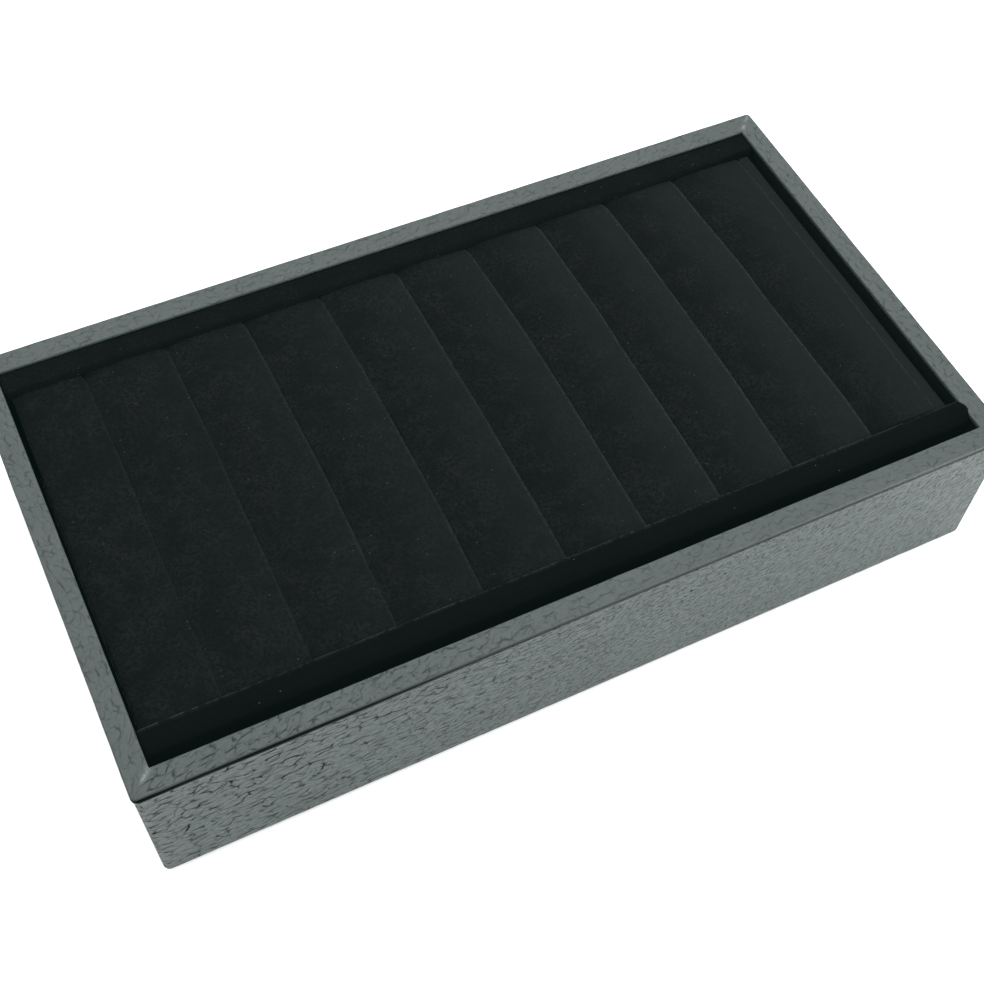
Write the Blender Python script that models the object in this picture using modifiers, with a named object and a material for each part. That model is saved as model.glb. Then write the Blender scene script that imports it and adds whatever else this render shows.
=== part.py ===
"""A jewelry display tray: a leatherette-covered box with a mitred rim, and a velvet ring insert that lifts out of it.

Lengths are in metres and +Z is up. The origin is on the resting face, under the middle of the tray. The tray is
longest along X, and its front long side faces -Y.
"""

import math

import bmesh
import bpy
from mathutils import Vector

# Driving sizes of the whole tray
TRAY_LENGTH = 0.240
TRAY_DEPTH = 0.135
TRAY_HEIGHT = 0.047

# Clearances between neighbouring pieces
REST_GAP = 0.0003
GLUE_LINE = 0.0002
MITRE_GAP = 0.0001

# Rim caps
FRONT_RIM_WIDTH = 0.0061
REAR_RIM_WIDTH = 0.0063
SIDE_RIM_WIDTH = 0.0060
RIM_THICKNESS = 0.0012
RIM_EDGE_RADIUS = 0.0005
RIM_OVERHANG = 0.0003
RIM_CORNER_RADIUS = 0.0008

# Leatherette on the walls
WRAP_THICKNESS = 0.0006
WRAP_CORNER_RADIUS = 0.0016
WRAP_TOP_RADIUS = 0.0011
WRAP_BOTTOM_RADIUS = 0.0014
WRAP_TURN_OVER = 0.0030
WRAP_TURN_IN = 0.0090

# Smallest rounding of an inner corner
LEAST_RADIUS = 0.0003

# Boards
WALL_BOARD_THICKNESS = 0.0035
BASE_BOARD_THICKNESS = 0.0030

# Sheet under the base
BASE_SHEET_THICKNESS = 0.0005
BASE_SHEET_INSET = 0.0050
BASE_SHEET_CORNER_RADIUS = 0.0030

# Velvet
LINING_THICKNESS = 0.0006
VELVET_THICKNESS = 0.0006

# Ring insert
FINGER_GAP = 0.0037
INSERT_CARD_THICKNESS = 0.0015
RAIL_WIDTH = 0.0066
RAIL_DROP = 0.0007
RAIL_EDGE_RADIUS = 0.0014
LEFT_SIDE_GAP = 0.0013
RIGHT_SIDE_GAP = 0.0017
END_PANEL_WIDTH = 0.0027
END_PANEL_EDGE_RADIUS = 0.0010

# Padded strips between the rails
STRIP_COUNT = 10
STRIP_DROP = 0.0028
STRIP_EDGE_RADIUS = 0.0015
STRIP_CROWN = 0.0006
STRIP_END_FALL = 0.0004
STRIP_PULL_IN = 0.0003
LAST_STRIP_SETBACK = 0.0007

# Widths of the strips from left to right, each as a share of the mean width
STRIP_WIDTH_SHARES = (0.87, 1.02, 0.98, 1.02, 1.03, 1.01, 1.00, 0.98, 1.08, 1.00)

# How far the slot at each strip's right side leans, its front end lying to the right of its rear end, and how far its
# middle bows to the right of both, as shares of the mean width
SLOT_LEAN_SHARES = (0, -0.02, 0, 0.01, 0.01, 0.04, 0, 0.03, 0.10, 0)
SLOT_BOW_SHARES = (0, 0.01, 0.03, 0.04, 0.03, 0.04, 0.03, 0.05, 0.035, 0)

# Places of the cuts across and along a strip's top, as shares of its half width and half length
CUT_ACROSS_SHARES = (-0.5, 0.0, 0.5)
CUT_ALONG_SHARES = (-0.8, -0.4, 0.0, 0.4, 0.8)

# A face counts as looking straight down where its normal is this near to -Z
FACING_SHARE = 0.99

# Counts and powers
ARC_STEPS = 3
EDGE_SEGMENTS = 2
CROWN_POWER = 2
END_FALL_POWER = 6

HALF_LENGTH = TRAY_LENGTH / 2
HALF_DEPTH = TRAY_DEPTH / 2

# Insets of the layers of a wall from the tray's outer edge
WRAP_OUTER = RIM_OVERHANG
WRAP_INNER = WRAP_OUTER + WRAP_THICKNESS
BOARD_OUTER = WRAP_INNER + GLUE_LINE
BOARD_INNER = BOARD_OUTER + WALL_BOARD_THICKNESS
LINING_OUTER = BOARD_INNER + GLUE_LINE
LINING_INNER = LINING_OUTER + LINING_THICKNESS

# Heights of the layers of the tray
WRAP_BOTTOM = BASE_SHEET_THICKNESS + GLUE_LINE
BASE_BOARD_BOTTOM = WRAP_BOTTOM + WRAP_THICKNESS + GLUE_LINE
BASE_BOARD_TOP = BASE_BOARD_BOTTOM + BASE_BOARD_THICKNESS
WALL_BOTTOM = BASE_BOARD_TOP + GLUE_LINE
RIM_BOTTOM = TRAY_HEIGHT - RIM_THICKNESS
WRAP_TOP = RIM_BOTTOM - GLUE_LINE
WALL_TOP = WRAP_TOP - WRAP_THICKNESS - GLUE_LINE
FLOOR_LINING_TOP = WALL_BOTTOM + LINING_THICKNESS
WALL_LINING_BOTTOM = FLOOR_LINING_TOP + GLUE_LINE

# Heights of the layers of the insert
INSERT_BOTTOM = FLOOR_LINING_TOP + REST_GAP
INSERT_CARD_TOP = INSERT_BOTTOM + INSERT_CARD_THICKNESS
PADDING_BOTTOM = INSERT_CARD_TOP + GLUE_LINE
RAIL_TOP = TRAY_HEIGHT - RAIL_DROP
STRIP_TOP = TRAY_HEIGHT - STRIP_DROP

# Edges of the insert, which clears both the rim and the lining
INSERT_LEFT = -HALF_LENGTH + max(SIDE_RIM_WIDTH, LINING_INNER) + REST_GAP
INSERT_RIGHT = -INSERT_LEFT
INSERT_REAR = HALF_DEPTH - max(REAR_RIM_WIDTH, LINING_INNER) - REST_GAP
INSERT_FRONT = -HALF_DEPTH + max(FRONT_RIM_WIDTH, LINING_INNER) + FINGER_GAP
STRIPS_FRONT = INSERT_FRONT + RAIL_WIDTH + REST_GAP
STRIPS_REAR = INSERT_REAR - RAIL_WIDTH - REST_GAP
STRIPS_LEFT = INSERT_LEFT + LEFT_SIDE_GAP
END_PANEL_RIGHT = INSERT_RIGHT - RIGHT_SIDE_GAP
END_PANEL_LEFT = END_PANEL_RIGHT - END_PANEL_WIDTH
STRIPS_RIGHT = END_PANEL_LEFT - REST_GAP
MEAN_STRIP_WIDTH = (STRIPS_RIGHT - STRIPS_LEFT) / STRIP_COUNT


def clear_scene():
    for obj in list(bpy.data.objects):
        bpy.data.objects.remove(obj, do_unlink=True)


def new_collection(name):
    collection = bpy.data.collections.new(name)
    bpy.context.scene.collection.children.link(collection)
    return collection


def new_material(name, colour, roughness):
    """A plain finish: none of the tray's materials is metal."""
    material = bpy.data.materials.new(name)
    material.use_nodes = True
    shader = material.node_tree.nodes["Principled BSDF"]
    shader.inputs["Base Color"].default_value = (*colour, 1)
    shader.inputs["Roughness"].default_value = roughness
    shader.inputs["Metallic"].default_value = 0
    material.diffuse_color = (*colour, 1)
    return material


def new_empty(name, location):
    empty = bpy.data.objects.new(name, None)
    empty.location = location
    tray_parts.objects.link(empty)
    return empty


def new_piece(name, bm, location, material, carrier):
    """Turns the bmesh into a named object, which is carried by an empty that stands for its rigid body."""
    bmesh.ops.recalc_face_normals(bm, faces=bm.faces)
    mesh = bpy.data.meshes.new(name)
    bm.to_mesh(mesh)
    bm.free()
    mesh.shade_smooth()
    mesh.set_sharp_from_angle(angle=math.radians(30))
    piece = bpy.data.objects.new(name, mesh)
    piece.data.materials.append(material)
    tray_parts.objects.link(piece)
    piece.parent = carrier
    piece.location = Vector(location) - carrier.location
    return piece


def block(low, high):
    """A box as a bmesh about its own middle, with that middle's place."""
    low = Vector(low)
    high = Vector(high)
    bm = bmesh.new()
    bmesh.ops.create_cube(bm, size=1)
    bmesh.ops.scale(bm, vec=high - low, verts=bm.verts)
    return bm, (low + high) / 2


def upright_edges(bm, side=0):
    """The edges that run along Z: all of them, or those on the -Y side (-1) or the +Y side (1) only."""
    return [
        edge
        for edge in bm.edges
        if abs(edge.verts[0].co.z - edge.verts[1].co.z) > abs((edge.verts[0].co - edge.verts[1].co).xy.length)
        and (side == 0 or edge.verts[0].co.y * side > 0)
    ]


def face_edges(bm, direction):
    """The edges round the flat face whose outward normal points most along the direction."""
    bm.normal_update()
    face = max(bm.faces, key=lambda f: (round(f.normal.dot(Vector(direction)), 3), f.calc_area()))
    return list(face.edges)


def round_edges(bm, edges, radius):
    """Rounds edges, where there is a radius left to round them with."""
    if radius > 0:
        bmesh.ops.bevel(bm, geom=edges, offset=radius, segments=EDGE_SEGMENTS, profile=0.5, affect="EDGES")


def add_board(name, low, high, material, carrier):
    bm, middle = block(low, high)
    return new_piece(name, bm, middle, material, carrier)


def side_path(inset, left_inset, right_inset, radius, half_along, half_across):
    """Plan points of a line along the front side, from the middle of its left corner to that of its right corner."""
    turns = [math.radians(225) + math.radians(45) * step / ARC_STEPS for step in range(ARC_STEPS + 1)]
    y_centre = -half_across + inset + radius
    left_centre = -half_along + left_inset + radius + MITRE_GAP
    right_centre = half_along - right_inset - radius - MITRE_GAP
    left = [(left_centre + radius * math.cos(turn), y_centre + radius * math.sin(turn)) for turn in turns]
    right = [(right_centre - radius * math.cos(turn), y_centre + radius * math.sin(turn)) for turn in turns]
    return left + right[::-1]


def mitred_side(profile, own_width, left_width, right_width, corner_radius, half_along, half_across):
    """Sweeps a profile of (inset, height) points along the front side, with a mitre in the middle of each corner.

    The corners are rounded, and the inset at each end is the neighbouring side's at the same share of its width.
    """
    outer = min(inset for inset, _ in profile)
    bm = bmesh.new()
    rows = []
    for inset, height in profile:
        radius = max(corner_radius - (inset - outer), LEAST_RADIUS)
        left_inset = inset * left_width / own_width
        right_inset = inset * right_width / own_width
        path = side_path(inset, left_inset, right_inset, radius, half_along, half_across)
        rows.append([bm.verts.new((x, y, height)) for x, y in path])
    for row, following in zip(rows, rows[1:] + rows[:1]):
        for place in range(len(row) - 1):
            bm.faces.new((row[place], row[place + 1], following[place + 1], following[place]))
    bm.faces.new([row[0] for row in rows])
    bm.faces.new([row[-1] for row in rows])
    return bm


def arc(centre_inset, centre_height, radius, start, stop):
    """Points of an arc in a profile's plane, with its angles in degrees."""
    turns = [math.radians(start + (stop - start) * step / ARC_STEPS) for step in range(ARC_STEPS + 1)]
    return [(centre_inset + radius * math.cos(turn), centre_height + radius * math.sin(turn)) for turn in turns]


def rim_profile(width):
    """The rim cap's section: flat underneath, with both upper edges rounded."""
    top = RIM_THICKNESS
    radius = min(RIM_EDGE_RADIUS, RIM_THICKNESS, width / 2)
    outer_edge = arc(radius, top - radius, radius, 180, 90)
    inner_edge = arc(width - radius, top - radius, radius, 90, 0)
    return [(0, 0)] + outer_edge + inner_edge + [(width, 0)]


def wrap_profile():
    """The leatherette's section: over the wall's top, down the wall, round the bottom edge and in under the base."""
    top_radius = max(WRAP_TOP_RADIUS, WRAP_THICKNESS + LEAST_RADIUS)
    bottom_radius = max(WRAP_BOTTOM_RADIUS, WRAP_THICKNESS + LEAST_RADIUS)
    top_centre = (WRAP_OUTER + top_radius, WRAP_TOP - WRAP_BOTTOM - top_radius)
    bottom_centre = (WRAP_OUTER + bottom_radius, bottom_radius)
    turned_over = WRAP_OUTER + WRAP_TURN_OVER
    turned_in = WRAP_OUTER + WRAP_TURN_IN
    top = WRAP_TOP - WRAP_BOTTOM
    return [
        (turned_over, top),
        *arc(*top_centre, top_radius, 90, 180),
        *arc(*bottom_centre, bottom_radius, 180, 270),
        (turned_in, 0),
        (turned_in, WRAP_THICKNESS),
        *arc(*bottom_centre, bottom_radius - WRAP_THICKNESS, 270, 180),
        *arc(*top_centre, top_radius - WRAP_THICKNESS, 180, 90),
        (turned_over, top - WRAP_THICKNESS),
    ]


SIDES = (
    # name, turn about Z in degrees, half length along, half length across
    ("front", 0, HALF_LENGTH, HALF_DEPTH),
    ("right", 90, HALF_DEPTH, HALF_LENGTH),
    ("rear", 180, HALF_LENGTH, HALF_DEPTH),
    ("left", 270, HALF_DEPTH, HALF_LENGTH),
)
RIM_WIDTHS = {
    "front": FRONT_RIM_WIDTH,
    "right": SIDE_RIM_WIDTH,
    "rear": REAR_RIM_WIDTH,
    "left": SIDE_RIM_WIDTH,
}


def add_rims(carrier):
    """Four mitred cap strips on top of the walls."""
    for place, (side, turn, half_along, half_across) in enumerate(SIDES):
        own = RIM_WIDTHS[side]
        before = RIM_WIDTHS[SIDES[place - 1][0]]
        after = RIM_WIDTHS[SIDES[(place + 1) % len(SIDES)][0]]
        bm = mitred_side(rim_profile(own), own, before, after, RIM_CORNER_RADIUS, half_along, half_across)
        rim = new_piece(f"{side}_rim", bm, (0, 0, RIM_BOTTOM), leatherette, carrier)
        rim.rotation_euler.z = math.radians(turn)


def add_wraps(carrier):
    """Leatherette on the four walls, turned in under the base."""
    for side, turn, half_along, half_across in SIDES:
        bm = mitred_side(wrap_profile(), 1, 1, 1, WRAP_CORNER_RADIUS, half_along, half_across)
        wrap = new_piece(f"{side}_wrap", bm, (0, 0, WRAP_BOTTOM), leatherette, carrier)
        wrap.rotation_euler.z = math.radians(turn)


def add_base(carrier):
    """The base board inside the wrap, with its edges rounded to suit, and the sheet under the tray."""
    half_x = HALF_LENGTH - BOARD_OUTER
    half_y = HALF_DEPTH - BOARD_OUTER
    bm, middle = block((-half_x, -half_y, BASE_BOARD_BOTTOM), (half_x, half_y, BASE_BOARD_TOP))
    inner_corner = WRAP_CORNER_RADIUS - WRAP_THICKNESS - GLUE_LINE
    inner_bottom = WRAP_BOTTOM_RADIUS - WRAP_THICKNESS - GLUE_LINE
    round_edges(bm, upright_edges(bm), inner_corner)
    round_edges(bm, face_edges(bm, (0, 0, -1)), min(inner_bottom, BASE_BOARD_THICKNESS / 2))
    new_piece("base_board", bm, middle, fibreboard, carrier)

    half_x = HALF_LENGTH - BASE_SHEET_INSET
    half_y = HALF_DEPTH - BASE_SHEET_INSET
    bm, middle = block((-half_x, -half_y, 0), (half_x, half_y, BASE_SHEET_THICKNESS))
    round_edges(bm, upright_edges(bm), BASE_SHEET_CORNER_RADIUS)
    new_piece("base_sheet", bm, middle, base_paper, carrier)


def add_wall_boards(carrier):
    """The front and rear boards run the full length, and the side boards stand between them."""
    inner_corner = WRAP_CORNER_RADIUS - WRAP_THICKNESS - GLUE_LINE
    outer_x = HALF_LENGTH - BOARD_OUTER
    outer_y = HALF_DEPTH - BOARD_OUTER
    inner_x = HALF_LENGTH - BOARD_INNER
    inner_y = HALF_DEPTH - BOARD_INNER
    for name, facing in (("front_board", -1), ("rear_board", 1)):
        near, far = sorted((facing * outer_y, facing * inner_y))
        bm, middle = block((-outer_x, near, WALL_BOTTOM), (outer_x, far, WALL_TOP))
        round_edges(bm, upright_edges(bm, facing), min(inner_corner, WALL_BOARD_THICKNESS / 2))
        new_piece(name, bm, middle, fibreboard, carrier)
    between = inner_y - GLUE_LINE
    for name, facing in (("left_board", -1), ("right_board", 1)):
        near, far = sorted((facing * outer_x, facing * inner_x))
        add_board(name, (near, -between, WALL_BOTTOM), (far, between, WALL_TOP), fibreboard, carrier)


def add_linings(carrier):
    """Velvet on the floor and, standing on it, on the four inner walls."""
    outer_x = HALF_LENGTH - LINING_OUTER
    outer_y = HALF_DEPTH - LINING_OUTER
    inner_x = HALF_LENGTH - LINING_INNER
    inner_y = HALF_DEPTH - LINING_INNER
    add_board("floor_lining", (-outer_x, -outer_y, WALL_BOTTOM), (outer_x, outer_y, FLOOR_LINING_TOP), velvet, carrier)
    low = WALL_LINING_BOTTOM
    for name, facing in (("front_lining", -1), ("rear_lining", 1)):
        near, far = sorted((facing * outer_y, facing * inner_y))
        add_board(name, (-outer_x, near, low), (outer_x, far, WRAP_TOP), velvet, carrier)
    between = inner_y - GLUE_LINE
    for name, facing in (("left_lining", -1), ("right_lining", 1)):
        near, far = sorted((facing * outer_x, facing * inner_x))
        add_board(name, (near, -between, low), (far, between, WRAP_TOP), velvet, carrier)


def round_all_but_bottom(bm, radius):
    """Rounds a box's upright and upper edges together."""
    edges = upright_edges(bm) + face_edges(bm, (0, 0, 1))
    round_edges(bm, list(dict.fromkeys(edges)), radius)


def open_bottom(bm):
    """Takes away the faces that look straight down."""
    bm.normal_update()
    down = [face for face in bm.faces if face.normal.z < -FACING_SHARE]
    bmesh.ops.delete(bm, geom=down, context="FACES")


def thicken_inwards(piece, thickness):
    shell = piece.modifiers.new("thickness", "SOLIDIFY")
    shell.thickness = thickness
    shell.offset = -1
    shell.use_even_offset = True
    shell.use_quality_normals = True


def add_covered_board(name, low, high, radius, carrier):
    """A stiff strip with velvet drawn over its top, its sides and its ends."""
    low = Vector(low)
    high = Vector(high)
    bm, middle = block(low, high)
    round_all_but_bottom(bm, radius)
    open_bottom(bm)
    cover = new_piece(f"{name}_velvet", bm, middle, velvet, carrier)
    thicken_inwards(cover, VELVET_THICKNESS)

    inside = VELVET_THICKNESS + GLUE_LINE
    core_low = low + Vector((inside, inside, 0))
    core_high = high - Vector((inside, inside, inside))
    bm, middle = block(core_low, core_high)
    round_all_but_bottom(bm, radius - inside)
    new_piece(f"{name}_board", bm, middle, fibreboard, carrier)


def slot_places():
    """The slot at each strip's side, from the left side of the first strip on, as (rear x, front x, bow)."""
    total = sum(STRIP_WIDTH_SHARES)
    width = STRIPS_RIGHT - STRIPS_LEFT
    reached = 0
    places = [(STRIPS_LEFT, STRIPS_LEFT, 0)]
    for width_share, lean_share, bow_share in zip(STRIP_WIDTH_SHARES, SLOT_LEAN_SHARES, SLOT_BOW_SHARES):
        reached += width_share
        x = STRIPS_LEFT + width * reached / total
        lean = lean_share * MEAN_STRIP_WIDTH
        places.append((x - lean / 2, x + lean / 2, bow_share * MEAN_STRIP_WIDTH))
    return places


def slot_x(place, y):
    """The x of a slot's middle line at a y: a straight lean with a parabola's bow on it."""
    rear, front, bow = place
    forward = (STRIPS_REAR - y) / (STRIPS_REAR - STRIPS_FRONT)
    return rear + (front - rear) * forward + 4 * bow * forward * (1 - forward)


def padded_form(length, width, height, inside):
    """A strip's rounded and crowned form about the middle of its base, smaller by `inside` on its top and sides."""
    half_width = width / 2
    half_length = length / 2
    bm, _ = block(
        (-half_width + inside, -half_length + inside, 0),
        (half_width - inside, half_length - inside, height - inside),
    )
    bmesh.ops.translate(bm, vec=(0, 0, (height - inside) / 2), verts=bm.verts)
    round_all_but_bottom(bm, STRIP_EDGE_RADIUS - inside)
    cuts = [((share * half_width, 0, 0), (1, 0, 0)) for share in CUT_ACROSS_SHARES]
    cuts += [((0, share * half_length, 0), (0, 1, 0)) for share in CUT_ALONG_SHARES]
    for place, normal in cuts:
        geometry = list(bm.verts) + list(bm.edges) + list(bm.faces)
        bmesh.ops.bisect_plane(bm, geom=geometry, plane_co=place, plane_no=normal, dist=0)
    for vert in bm.verts:
        across = vert.co.x / half_width
        along = vert.co.y / half_length
        up = vert.co.z / height
        fall = STRIP_CROWN * abs(across) ** CROWN_POWER + STRIP_END_FALL * abs(along) ** END_FALL_POWER
        vert.co.z -= fall * up
        vert.co.x -= STRIP_PULL_IN * across * (1 - up)
    return bm


def fit_sides(bm, width, middle, left, right):
    """Moves a straight strip's sides to half a gap from the slots' middle lines on its left and right."""
    for vert in bm.verts:
        y = middle.y + vert.co.y
        left_x = slot_x(left, y) + REST_GAP / 2
        right_x = slot_x(right, y) - REST_GAP / 2
        vert.co.x = left_x + (right_x - left_x) * (vert.co.x / width + 0.5) - middle.x


def add_strips(carrier):
    """Ten padded strips side by side, each a foam core in a velvet cover that is open underneath."""
    places = slot_places()
    height = STRIP_TOP - PADDING_BOTTOM
    for number in range(STRIP_COUNT):
        left = places[number]
        right = places[number + 1]
        front = STRIPS_FRONT
        if number == STRIP_COUNT - 1:
            front += LAST_STRIP_SETBACK
        length = STRIPS_REAR - front
        width = (right[0] + right[1] - left[0] - left[1]) / 2 - REST_GAP
        middle = Vector(((left[0] + left[1] + right[0] + right[1]) / 4, front + length / 2, PADDING_BOTTOM))

        bm = padded_form(length, width, height, 0)
        open_bottom(bm)
        fit_sides(bm, width, middle, left, right)
        cover = new_piece(f"strip_velvet_{number + 1:02d}", bm, middle, velvet, carrier)
        thicken_inwards(cover, VELVET_THICKNESS)

        bm = padded_form(length, width, height, VELVET_THICKNESS + REST_GAP)
        fit_sides(bm, width, middle, left, right)
        new_piece(f"strip_foam_{number + 1:02d}", bm, middle, foam, carrier)


def add_insert(carrier):
    low = (INSERT_LEFT, INSERT_FRONT, INSERT_BOTTOM)
    high = (INSERT_RIGHT, INSERT_REAR, INSERT_CARD_TOP)
    add_board("insert_card", low, high, grey_card, carrier)
    add_covered_board(
        "front_rail",
        (INSERT_LEFT, INSERT_FRONT, PADDING_BOTTOM),
        (INSERT_RIGHT, INSERT_FRONT + RAIL_WIDTH, RAIL_TOP),
        RAIL_EDGE_RADIUS,
        carrier,
    )
    add_covered_board(
        "rear_rail",
        (INSERT_LEFT, INSERT_REAR - RAIL_WIDTH, PADDING_BOTTOM),
        (INSERT_RIGHT, INSERT_REAR, RAIL_TOP),
        RAIL_EDGE_RADIUS,
        carrier,
    )
    add_covered_board(
        "end_panel",
        (END_PANEL_LEFT, STRIPS_FRONT, PADDING_BOTTOM),
        (END_PANEL_RIGHT, STRIPS_REAR, STRIP_TOP),
        END_PANEL_EDGE_RADIUS,
        carrier,
    )
    add_strips(carrier)


clear_scene()
tray_parts = new_collection("jewelry_display_tray")
leatherette = new_material("leatherette", (0.085, 0.098, 0.096), 0.55)
velvet = new_material("velvet", (0.010, 0.013, 0.013), 0.95)
fibreboard = new_material("fibreboard", (0.42, 0.31, 0.20), 0.85)
grey_card = new_material("grey_card", (0.36, 0.35, 0.32), 0.90)
base_paper = new_material("base_paper", (0.020, 0.021, 0.021), 0.80)
foam = new_material("foam", (0.30, 0.30, 0.29), 0.95)

case = new_empty("case", (0, 0, 0))
insert = new_empty("insert", (0, (INSERT_FRONT + INSERT_REAR) / 2, INSERT_BOTTOM))
add_base(case)
add_wall_boards(case)
add_wraps(case)
add_rims(case)
add_linings(case)
add_insert(insert)
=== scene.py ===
"""The looks of a jewelry display tray: grained leatherette outside, and a black velvet ring insert inside.

Lengths are in metres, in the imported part's own frame: +X along the tray, -Y its front long side, +Z up.
"""

import math

import bpy
import numpy as np
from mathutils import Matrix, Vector


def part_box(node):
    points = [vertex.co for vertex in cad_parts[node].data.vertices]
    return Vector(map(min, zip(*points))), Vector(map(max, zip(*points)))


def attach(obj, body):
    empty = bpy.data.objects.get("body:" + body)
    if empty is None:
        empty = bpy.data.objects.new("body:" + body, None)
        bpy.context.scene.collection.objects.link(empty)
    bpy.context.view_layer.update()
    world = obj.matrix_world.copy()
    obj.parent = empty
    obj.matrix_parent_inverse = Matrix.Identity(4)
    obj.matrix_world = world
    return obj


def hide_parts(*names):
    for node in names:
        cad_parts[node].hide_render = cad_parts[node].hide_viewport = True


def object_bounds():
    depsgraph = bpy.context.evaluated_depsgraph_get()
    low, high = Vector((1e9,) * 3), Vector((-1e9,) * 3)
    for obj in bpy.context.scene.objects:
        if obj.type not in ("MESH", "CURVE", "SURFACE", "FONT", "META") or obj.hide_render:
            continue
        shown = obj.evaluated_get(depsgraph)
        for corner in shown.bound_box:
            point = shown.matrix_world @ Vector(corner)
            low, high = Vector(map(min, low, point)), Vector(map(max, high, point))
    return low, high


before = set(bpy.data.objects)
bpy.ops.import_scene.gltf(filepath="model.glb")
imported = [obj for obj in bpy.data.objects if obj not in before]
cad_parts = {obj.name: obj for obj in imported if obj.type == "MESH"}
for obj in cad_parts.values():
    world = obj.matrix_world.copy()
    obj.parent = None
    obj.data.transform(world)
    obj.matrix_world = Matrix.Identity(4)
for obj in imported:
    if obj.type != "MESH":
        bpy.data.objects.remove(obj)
CAD_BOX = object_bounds()

# Camera, solved from the straight edges of the tray in the photograph
CAMERA_PLACE = (-0.10953, -0.20838, 0.34808)
CAMERA_TURN_DEG = (31.9261, -2.5818, -26.3791)
CAMERA_SHIFT = (-0.03005, 0.06368)
CAMERA_NEAREST = 0.01
LENS_MM = 52.963
SENSOR_MM = 36

# Light: a light tent, brightest towards SKY_AXIS, and the slight haze that it leaves in the picture
SKY_LOW = 1.40
SKY_HIGH = 2.20
SKY_AXIS = (-0.41, -0.41, 0.82)
SKY_START = -0.3
WHITE = (1, 1, 1, 1)
KEY_PLACE = (0.25, 0.45, 0.95)
KEY_SIZE = (0.60, 0.60)
KEY_WATTS = 2.5
FILL_PLACE = (0.55, -0.40, 0.065)
FILL_SIZE = (0.50, 0.11)
FILL_WATTS = 6.5
HAZE = (0.0020, 0.0052, 0.0047)
FLOOR_SIZE = 12.0
FLOOR_THICKNESS = 0.01
FLOOR_COLOUR = (0.90, 0.91, 0.91)
FLOOR_PALER = (0.909, 0.919, 0.919)
FLOOR_CLOUDS = 0.4

# Leatherette: its colours, and the sizes of what is seen on it
LEATHER_DARK = (0.023, 0.0345, 0.0325)
LEATHER_PALE = (0.029, 0.0415, 0.0395)
PORE_COLOUR = (0.010, 0.014, 0.014)
# Painted shade: the near-black of the grain's cracks, of the crevice under the rim and of the rim's outer
# edge
CRACK_SHADE_COLOUR = (0.0008, 0.0012, 0.0012)
SCUFF_COLOUR = (0.13, 0.15, 0.145)
TONE_SIZE = 0.012
PORE_SIZE = 0.00045
SCUFF_SIZE = 0.0014
GLOSS_SIZE = 0.0009
GRAIN_DEPTH = 0.00012
CELL_LENGTH = 0.0042
CELL_HEIGHT = 0.0026
BROAD_SCALE = (1, 1, 1)
SMALL_SCALE = (1.35, 1.6, 1)
BROAD_CRACK = 0.16
SMALL_CRACK = 0.15
CRACK_BOOST = 1.1
CROSS_CRACK = 0.35
CRACK_BREAKS = (0.44, 0.58)
BROKEN_CRACK = 0.08

# Leatherette: its mesh
ALONG_STEP = 0.0011
END_STEP = 0.00016
END_REACH = 0.0022
CORNER_COLUMNS = 5
WRAP_LAYER = 0.0006
BOTTOM_RADIUS = 0.0014
WRAP_CORNER_RADIUS = 0.0016
RIM_CORNER_RADIUS = 0.0012
RIM_EDGE_RADIUS = 0.0007
RIM_LOWER_RADIUS = 0.00012
RIM_INNER_RADIUS = 3 * RIM_LOWER_RADIUS
RIM_UNDERCUT = 0.0016
MITRE_GAP = 0.00003
LEAST_RADIUS = 0.0003
CREST_RADIUS = 0.00035
FLARE = 0.00028
OPEN_FLARE = 0.00014
FLARE_REACH = 0.0016
FLARE_SHARE = 0.06
TURN_OVER = 0.0030
TURN_IN = 0.0090

# Unevenness of the glued leatherette, and its size along and across a side
PUCKER = 0.00008
PUCKER_SIZES = (0.007, 0.005)
FINE_PUCKER = 0.00004
FINE_PUCKER_SIZES = (0.002, 0.0014)
PUCKER_FADE = 0.004

# The pattern on a wall, and how the front's turns finer and slants towards the right, as shares of its length
WALL_GRAIN = {
    "slant": 0.06,
    "length": CELL_LENGTH,
    "height": CELL_HEIGHT,
    "fine": 0.4,
    "strength": 1,
    "start": 0,
}
FINER_SHARES = (0.1, 0.6)
SLANTING_SHARES = (0.30, 0.95)
LEFT_SLANT = 0.03
SLANT_TURN = -0.58
LEFT_FINENESS = 0.15
FINENESS_RISE = 0.75
FINER_LENGTH_LOSS = 0.30
FINER_HEIGHT_LOSS = 0.28
RIGHT_FADE = 0.1
LOW_FADE = 0.15
LOW_FADE_START = 0.2

# The pattern on a rim, which on the front fades towards the right
RIM_SLANT = 0.10
RIM_LENGTH_SHARE = 0.72
RIM_HEIGHT_SHARE = 0.9
RIM_FINENESS = 0.2
RIM_START_CELL = 200
RIM_NEXT_CELLS = 60
RIM_LEFT_STRENGTH = 1.25
RIM_STRENGTH_LOSS = 0.65
RIM_FADE_SHARES = (0.05, 0.6)
# Painted shade on the rim's rounded outer edge, which keeps it from looking lighter than the rim's top
RIM_EDGE_SHADE = 0.6

# The crevice under the rim stands open at the front left corner and closes along the front
CREVICE_DROP = 0.00055
CREVICE_LIFT = 0.00054
CLOSED_LIFT = 0.00002
FRONT_OPEN_SHARE = 0.12
FRONT_SHUT_SHARE = 0.50
LEFT_SHUT_SHARE = 0.70
CREVICE_WAVES = 16
CREVICE_WAVE_DEPTH = 0.45
CORNER_SHARE = 0.04

# Each side's turn about Z from the front, and where its unrolled pattern starts
SIDES = {"front": (0, 0.0), "right": (90, 0.240), "rear": (180, 0.375), "left": (270, 0.615)}
MITRE_ENDS = {
    "front": ("front left", "front right"),
    "right": ("front right", "rear right"),
    "rear": ("rear right", "rear left"),
    "left": ("rear left", "front left"),
}
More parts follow.
